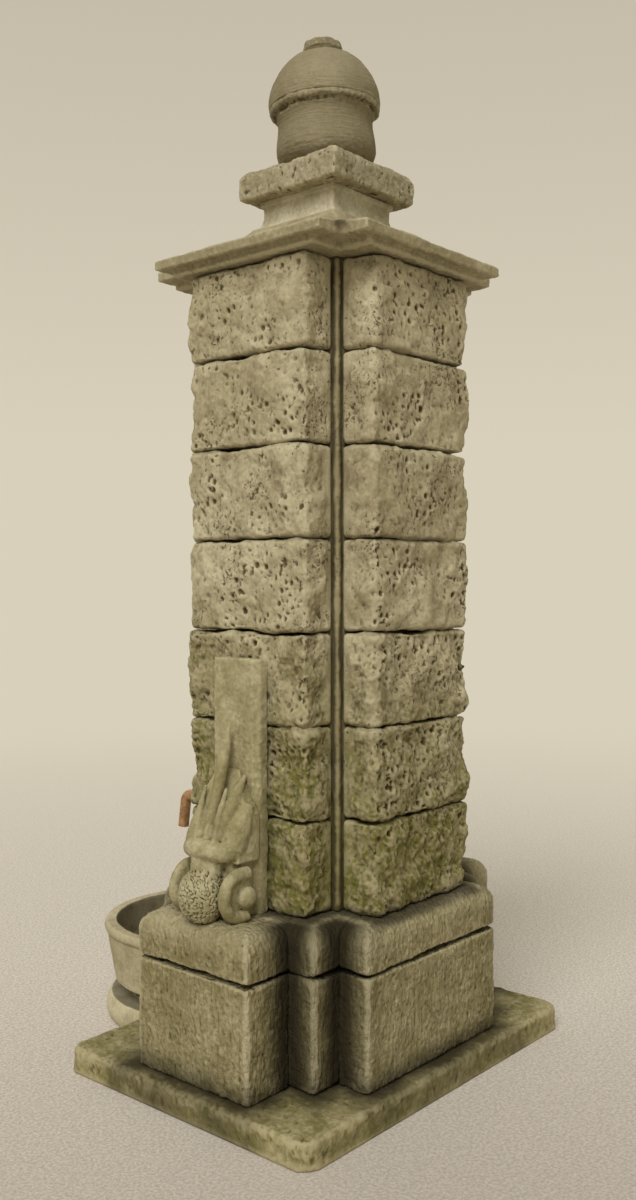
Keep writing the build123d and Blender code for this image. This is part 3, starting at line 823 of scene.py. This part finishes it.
def pillar():
    """Four sides of blocks, each worn in its own way, round the core."""
    blank = block_blank()
    number = 0
    for side in SIDES:
        for course in range(1, COURSES + 1):
            number += 1
            worn_block(blank, course, side, number)
    bpy.data.objects.remove(blank)
    core()


# ---------------------------------------------------------------- plinth and base slab

FLAT_FOOT = 0.004  # a stone on the floor keeps this height flat
FOOT_FADE = 0.020
BED_WANDER = 0.006  # how far an open bed strays from its line
PLINTH_JOINT_WIDTH = 0.010
PLINTH_JOINT_DEPTH = 0.012
SLAB_DRAWN_IN = 0.0045


def open_bed(piece, bed, width, depth):
    """Cuts the irregular joint at a bed: deep in stretches and nearly closed in others."""
    where = points(piece)
    near = 1 - np.abs(where[:, 2] - bed - BED_WANDER * waves(where, 11)) / width
    open_here = np.clip(0.75 + 1.1 * waves(where, 19, (5, 5, 5)), 0.15, 1)
    move_out(piece, np.clip(near * 1.6, 0, 1) * open_here, -depth)


def off_the_floor(piece):
    """Weights that leave a stone flat where it stands on the floor."""
    return rise(points(piece)[:, 2], FLAT_FOOT, FOOT_FADE)


def dressed(node, finish, slot, voxel, swell_by, lump_by, fine_by,
            pit_by=0, shift=(0, 0, 0), bed=None, rounds=2):
    """Works a CAD node's stone up from a merged copy: remeshed evenly, eased and worn."""
    piece = blank_from(node)
    remesh(piece, voxel)
    ease(piece, rounds)
    if bed:
        open_bed(piece, bed, PLINTH_JOINT_WIDTH, PLINTH_JOINT_DEPTH)
    worn = off_the_floor(piece)
    roughen(piece, worn, worn, swell_by, lump_by, fine_by, pit_by, shift=shift)
    stand_for(piece, node, finish)


def plinth_piece(node, **wear):
    """A stone of the plinth, with the open bed between its two tiers."""
    dressed(node, plinth_stone, "plinth_stone", bed=CAP_BED, rounds=1, **wear)


def plinth():
    """The plinth's two tiers, each a core and four boxes that stand out of its sides."""
    for number, side in enumerate(SIDES):
        shift = (number * 2.3, number * 1.1, 0)
        for tier in ("block", "cap"):
            plinth_piece(f"plinth_{tier}_{side}", voxel=0.0060, shift=shift,
                         swell_by=0.010, lump_by=0.007, fine_by=0.006)
    for node in ("plinth_core", "plinth_cap_core"):
        plinth_piece(node, voxel=0.0095, swell_by=0.006, lump_by=0.006, fine_by=0.005)


def slab():
    """The base slab, drawn in a little before it is worn, and left flat underneath."""
    piece = blank_from("base_slab")
    remesh(piece, 0.0097)
    ease(piece, 2)
    worn = off_the_floor(piece)
    move_out(piece, worn, -SLAB_DRAWN_IN)
    roughen(piece, worn, worn, swell_by=0.008, lump_by=0.007, fine_by=0.005, pit_by=0.003)
    stand_for(piece, "base_slab", slab_stone)


# ---------------------------------------------------------------- cornice, neck, cap slab and finial

LEAN = radians(2.0)
LEAN_AXIS = Vector((0.757, 0.654, 0))
LEAN_DROP = Vector((0, 0, -0.007))
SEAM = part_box("finial_dome")[0].z  # where the lid sits on the bowl
SEAM_WIDTH = 0.007
SEAM_DEPTH = 0.007
BEAD_ABOVE_SEAM = 0.011
BEAD_WIDTH = 0.008
BEAD_OUT = 0.003
FINIAL_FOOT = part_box("finial_bowl")[0].z
KNOB_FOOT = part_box("finial_dome")[1].z - 0.040
KNOB_R = 0.045
KNOB_BROKEN = 0.020  # how deep the top of the knob is broken away


def raise_bead(piece, height):
    """An uneven bead round the finial, above its seam."""
    where = points(piece)
    near = np.clip(1 - np.abs(where[:, 2] - height) / BEAD_WIDTH, 0, 1)
    move_out(piece, near * np.clip(0.6 + waves(where, 14, (2, 7, 1)), 0.1, 1), BEAD_OUT)


def lean(piece):
    """Leans a part of the finial about its foot, and lowers it a little."""
    foot = Vector((0, 0, FINIAL_FOOT))
    tilt = Matrix.Rotation(LEAN, 4, LEAN_AXIS)
    piece.matrix_world = Matrix.Translation(foot + LEAN_DROP) @ tilt @ Matrix.Translation(-foot)
    settle(piece)


def turned(node):
    """A part of the finial: cracked along the seam, its knob broken, and leaning a little."""
    piece = blank_from(node)
    remesh(piece, 0.0048)
    ease(piece, 1)
    open_bed(piece, SEAM, SEAM_WIDTH, SEAM_DEPTH)
    raise_bead(piece, SEAM + BEAD_ABOVE_SEAM)
    where = points(piece)
    knob = rise(where[:, 2], KNOB_FOOT, 0.02)
    middle = np.clip(1 - np.hypot(where[:, 0], where[:, 1]) / KNOB_R, 0, 1)
    move_out(piece, knob * middle, -KNOB_BROKEN)
    low_down = 1 - rise(where[:, 2], FINIAL_FOOT, 0.10)
    by_seam = 1 - np.clip(np.abs(where[:, 2] - SEAM) / 0.03, 0, 1)
    rough = 0.3 + 0.7 * np.maximum(knob, np.maximum(by_seam, low_down))
    roughen(piece, rough, rough * low_down, swell_by=0.008, lump_by=0.012, fine_by=0.006, pit_by=0.005)
    lean(piece)
    stand_for(piece, node, turned_stone)


def head():
    """Everything above the pillar."""
    slot = "dressed_stone"
    dressed("cornice", dressed_stone, slot, voxel=0.0064, rounds=1,
            swell_by=0.008, lump_by=0.006, fine_by=0.004, pit_by=0.001)
    dressed("neck_block", neck_stone_lit, slot, voxel=0.0055, rounds=1,
            swell_by=0.003, lump_by=0.003, fine_by=0.003)
    dressed("cap_slab", cap_stone, slot, voxel=0.0055, rounds=5,
            swell_by=0.020, lump_by=0.012, fine_by=0.005, pit_by=0.005)
    turned("finial_bowl")
    turned("finial_dome")


# ---------------------------------------------------------------- side panels and carved brackets

# The carving of the +X side, in metres: points along each member, with its half-thickness.
STEM = (
    (0.590, 0, 0.830, 0.017),
    (0.576, 0, 0.880, 0.017),
    (0.553, 0, 0.955, 0.019),
    (0.531, 0, 1.035, 0.020),
    (0.512, 0, 1.105, 0.020),
    (0.500, 0, 1.150, 0.017),
)
NUB = ((0.500, 0, 1.130, 0.014), (0.495, 0, 1.165, 0.012), (0.492, 0, 1.192, 0.007))
LEAF = (
    (0.588, 0.034, 0.832, 0.016),
    (0.566, 0.044, 0.890, 0.026),
    (0.528, 0.056, 0.960, 0.027),
    (0.482, 0.064, 1.040, 0.005),
)
EDGE_LEAF = (
    (0.596, 0.040, 0.836, 0.010),
    (0.588, 0.044, 0.890, 0.011),
    (0.570, 0.046, 0.950, 0.010),
    (0.548, 0.046, 1.005, 0.004),
)
BROW = (
    (0.500, -0.094, 0.806, 0.022),
    (0.556, -0.092, 0.808, 0.030),
    (0.598, -0.058, 0.812, 0.032),
    (0.612, 0, 0.816, 0.034),
    (0.598, 0.058, 0.812, 0.032),
    (0.556, 0.092, 0.808, 0.030),
    (0.500, 0.094, 0.806, 0.022),
)
CHEEK = (
    (0.556, 0.078, 0.812, 0.042),
    (0.540, 0.078, 0.856, 0.044),
    (0.514, 0.080, 0.905, 0.040),
    (0.492, 0.084, 0.950, 0.024),
)
NECK = ((0.572, 0, 0.800, 0.060), (0.584, 0, 0.760, 0.056), (0.592, 0, 0.720, 0.056))
HEAD_PLACE = (0.612, 0, 0.668)
HEAD_SIZE = (0.072, 0.080, 0.092)
SCROLL_PLACE = (0.556, 0.100, 0.678)
SCROLL_R = 0.066
SCROLL_DEPTH = 0.022
SCROLL_EDGE = 0.012
BAND_Y = 0.112
BAND_R = 0.020
BAND_OUT = 0.004  # how far the band's middle lies outside the scroll
BAND_END_OUT = 0.005  # how much further its two ends lie
BAND_START = 118  # where the band starts, in degrees up from +X
BAND_STEP = 29
BAND_POINTS = 9
LOBE = (0.532, 0.120, 0.668)
LOBE_SIZE = (0.036, 0.024, 0.036)
BACKING_SIZE = (0.100, 0.230, 0.150)
BACKING_OUT = 0.047  # the backing's middle, out from the bracket's back
BACKING_Z = 0.850
BACKING_TOP = 0.925
TIP_RISE = 0.130
FOOT_BLOCK_PLACE = (0.518, 0, 0.692)
FOOT_BLOCK_SIZE = (0.096, 0.176, 0.196)
CARVING_VOXEL = 0.0036
SCRATCH_DEPTH = 0.0045


def rod(members, name="rod"):
    """A smooth tapering member through the points given, as a closed mesh."""
    curve = bpy.data.curves.new(name, "CURVE")
    curve.dimensions = "3D"
    curve.bevel_depth = 1
    curve.bevel_resolution = 5
    curve.use_fill_caps = True
    spline = curve.splines.new("NURBS")
    spline.points.add(len(members) - 1)
    for point, (x, y, z, thickness) in zip(spline.points, members):
        point.co = (x, y, z, 1)
        point.radius = thickness
    spline.order_u = 3
    spline.use_endpoint_u = True
    spline.resolution_u = 6
    made = bpy.data.objects.new(name, curve)
    bpy.context.scene.collection.objects.link(made)
    take(made)
    bpy.ops.object.convert(target="MESH")
    return bpy.context.object


def other_hand(members):
    """The same member on the bracket's other side."""
    return [(x, -y, z, thickness) for x, y, z, thickness in members]


def scroll_band(side):
    """The raised band round the front of a scroll, open towards the panel, as a C."""
    members = []
    for step in range(BAND_POINTS):
        angle = radians(BAND_START - BAND_STEP * step)
        out = SCROLL_R + BAND_OUT + BAND_END_OUT * (step in (0, BAND_POINTS - 1))
        x = SCROLL_PLACE[0] + out * cos(angle)
        z = SCROLL_PLACE[2] + out * sin(angle)
        members.append((x, side * BAND_Y, z, BAND_R))
    return rod(members)


def scroll(side):
    """One scroll: a short roll with rounded edges, its band and the lobe inside the band."""
    x, y, z = SCROLL_PLACE
    roll = new_roll((x, side * y, z), SCROLL_R, SCROLL_DEPTH, 64)
    finish_with(roll, "BEVEL", width=SCROLL_EDGE, segments=3, angle_limit=radians(40))
    x, y, z = LOBE
    return [roll, scroll_band(side), new_ball((x, side * y, z), LOBE_SIZE)]


def backing():
    """The mass behind the leaves: as wide as the panel low down, then drawn in towards its top."""
    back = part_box("carved_bracket_right")[0].x
    made = new_box((back + BACKING_OUT, 0, BACKING_Z), BACKING_SIZE)
    edit_faces(made, lambda middle, normal: normal[:, 2] > 0.9)
    bpy.ops.transform.resize(value=(0.62, 0.97, 1), center_override=(back, 0, BACKING_TOP))
    bpy.ops.mesh.extrude_region_move(TRANSFORM_OT_translate={"value": (0, 0, TIP_RISE)})
    bpy.ops.transform.resize(value=(0.15, 0.30, 1), center_override=(back, 0, BACKING_TOP + TIP_RISE))
    bpy.ops.object.mode_set(mode="OBJECT")
    return made


def join(members):
    """Makes all the members one piece."""
    bpy.ops.object.select_all(action="DESELECT")
    for member in members:
        member.select_set(True)
    bpy.context.view_layer.objects.active = members[0]
    bpy.ops.object.join()
    return bpy.context.object


def trim_below(piece, height):
    """Cuts a piece off level, and closes it."""
    take(piece)
    bpy.ops.object.mode_set(mode="EDIT")
    bpy.ops.mesh.select_all(action="SELECT")
    bpy.ops.mesh.bisect(plane_co=(0, 0, height), plane_no=(0, 0, -1), use_fill=True, clear_outer=True)
    bpy.ops.object.mode_set(mode="OBJECT")


def carving():
    """The +X bracket: head, scrolls, brow and leaves made one."""
    members = [rod(shape) for shape in (STEM, NUB, BROW, NECK)]
    members += [backing(), new_box(FOOT_BLOCK_PLACE, FOOT_BLOCK_SIZE), new_ball(HEAD_PLACE, HEAD_SIZE)]
    for shape in (LEAF, EDGE_LEAF, CHEEK):
        members += [rod(shape), rod(other_hand(shape))]
    members += scroll(1) + scroll(-1)
    piece = join(members)
    piece.name = "carved_bracket_right_stone"
    remesh(piece, CARVING_VOXEL)
    trim_below(piece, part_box("carved_bracket_right")[0].z)
    ease(piece, 3)
    return piece


def wear_carving(piece):
    """Scratches on the head, then the same wear as the other stones."""
    where = points(piece)
    outward = np.abs(where)
    outward[:, 1] = where[:, 1]
    away = np.linalg.norm((outward - np.array(HEAD_PLACE)) / np.array(HEAD_SIZE), axis=1)
    weigh(piece, "scratched", 1 - rise(away, 1.02, 0.12))
    push(piece, scratches, SCRATCH_DEPTH, "scratched", 1.0)
    piece.vertex_groups.clear()
    worn = np.ones(len(where))
    roughen(piece, worn, worn, swell_by=0.006, lump_by=0.004, fine_by=0.0018)


def side_ornaments():
    """The carved brackets and the panels behind them, on both sides."""
    piece = carving()
    twin = own_copy(piece, "carved_bracket_left_stone")
    twin.rotation_euler.z = pi
    settle(twin)
    for made, side in ((piece, "right"), (twin, "left")):
        wear_carving(made)
        stand_for(made, f"carved_bracket_{side}", carved_stone)
        dressed(f"side_panel_{side}", carved_stone, "carved_stone", voxel=0.005,
                swell_by=0.004, lump_by=0.004, fine_by=0.004)


# ---------------------------------------------------------------- basin and metal parts

METALS = {
    "spout_pipe": copper,
    "riser_pipe": copper,
    "supply_pipe": copper,
    "waste_pipe": copper,
    "spout_elbow": bronze,
    "cock_body": bronze,
    "cock_plug": bronze,
    "cock_lever": steel,
    "basin_strainer": bronze,
}


def basin():
    """The bowl and its moulded foot."""
    dressed("basin_bowl", basin_stone, "basin_stone", voxel=0.0055,
            swell_by=0.003, lump_by=0.002, fine_by=0.001)
    dressed("basin_foot", basin_stone, "basin_stone", voxel=0.008,
            swell_by=0.004, lump_by=0.003, fine_by=0.002)


def pipework():
    """The metal parts keep their CAD shape and get a finish."""
    for node, finish in METALS.items():
        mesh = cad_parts[node].data
        mesh.materials.clear()
        mesh.materials.append(finish)


# ---------------------------------------------------------------- floor, light and camera

BACKDROP = srgb(216, 208, 187)
BACKDROP_HIGH = srgb(194, 185, 166)
SKY_LIGHT = 0.62  # the sky's strength as a light, beside 1 as it is seen
PAPER = srgb(188, 180, 168)
PAPER_GRAIN = srgb(220, 212, 200)
# painted shade: the floor is darker towards the camera
PAPER_SHADED_NEAR = srgb(158, 148, 136)
FLOOR_R = 80
FLOOR_Z = -0.001
FADE_FROM = 1.0  # the floor fades into the backdrop between these distances
FADE_TO = 10.0
LAMPS = {  # the way to each lamp, its spread in degrees and its power
    "key": ((0.66, 0.30, 0.70), 36, 2.5),
    "fill": ((-0.5, -0.8, 0.5), 70, 0.45),
}
LENS = 34.232
SENSOR = 36
EYE = (3.0797, 2.6150, 1.6543)
EYE_RIGHT = (-0.65354, 0.75689, -0.00117)
EYE_UP = (-0.01225, -0.00903, 0.99988)
EYE_BACK = (0.75679, 0.65348, 0.01517)


def floor():
    """A pale floor that fades into the backdrop's colour far away."""
    bpy.ops.object.select_all(action="DESELECT")
    bpy.ops.mesh.primitive_circle_add(
        vertices=96, radius=FLOOR_R, fill_type="NGON", location=(0, 0, FLOOR_Z)
    )
    ground = bpy.context.object
    ground.name = "floor"
    settle(ground)
    f = Finish("floor_paper")
    grain = f.noise(95.0, 3.0, 0.7)
    colour = f.mix(f.band(grain, 0.35, 0.65), PAPER, PAPER_GRAIN)
    # painted shade: the floor darker towards the camera, in +X and +Y
    colour = f.mix(f.band(f.x + f.y, -1.5, 3.2) * 0.5, colour, PAPER_SHADED_NEAR)
    paper = {"Color": colour, "Normal": f.bump(grain, 0.004, 0.6)}
    near = f.node("ShaderNodeBsdfDiffuse", {}, paper, "BSDF")
    away = f.node("ShaderNodeEmission", {}, {"Color": BACKDROP, "Strength": 1.0}, "Emission")
    far = f.band((f.x * f.x + f.y * f.y) ** 0.5, FADE_FROM, FADE_TO)
    faded = f.node("ShaderNodeMixShader", {}, {0: far, 1: near, 2: away})
    ground.data.materials.append(f.surface(faded))


def sky():
    """An even studio sky, a little darker high up, and weaker as a light than it looks."""
    world = bpy.data.worlds.new("studio")
    bpy.context.scene.world = world
    world.use_nodes = True
    nodes = Nodes(world.node_tree)
    way = nodes.node("ShaderNodeTexCoord", output="Generated")
    height = nodes.node("ShaderNodeSeparateXYZ", {}, {0: way}, "Z")
    stops = ((0.12, BACKDROP), (0.5, BACKDROP_HIGH))
    colour = nodes.node("ShaderNodeValToRGB", {"stops": stops}, {0: height})
    seen = nodes.node("ShaderNodeLightPath", output="Is Camera Ray")
    strength = nodes.node("ShaderNodeMapRange", {}, {"Value": seen, "To Min": SKY_LIGHT})
    glow = nodes.node("ShaderNodeBackground", {}, {"Color": colour, "Strength": strength})
    nodes.node("ShaderNodeOutputWorld", {}, {"Surface": glow})


def lamps():
    """One broad soft light from the +X side, and a weak one from the front left."""
    for name, (way, spread, power) in LAMPS.items():
        lamp = bpy.data.lights.new(name, "SUN")
        lamp.angle = radians(spread)
        lamp.energy = power
        holder = bpy.data.objects.new(name, lamp)
        holder.rotation_euler = Vector(way).to_track_quat("Z", "Y").to_euler()
        bpy.context.scene.collection.objects.link(holder)


def camera():
    """The camera, at a little over half the fountain's height."""
    eye = bpy.data.cameras.new("camera")
    eye.lens = LENS
    eye.sensor_width = SENSOR
    eye.sensor_fit = "AUTO"
    holder = bpy.data.objects.new("camera", eye)
    turn = Matrix((EYE_RIGHT, EYE_UP, EYE_BACK)).transposed()
    holder.matrix_world = Matrix.Translation(EYE) @ turn.to_4x4()
    bpy.context.scene.collection.objects.link(holder)
    bpy.context.scene.camera = holder
    bpy.context.scene.view_settings.view_transform = "Standard"


camera()
floor()
sky()
lamps()
pillar()
plinth()
slab()
head()
side_ornaments()
basin()
pipework()
bpy.data.objects.remove(grain_place)
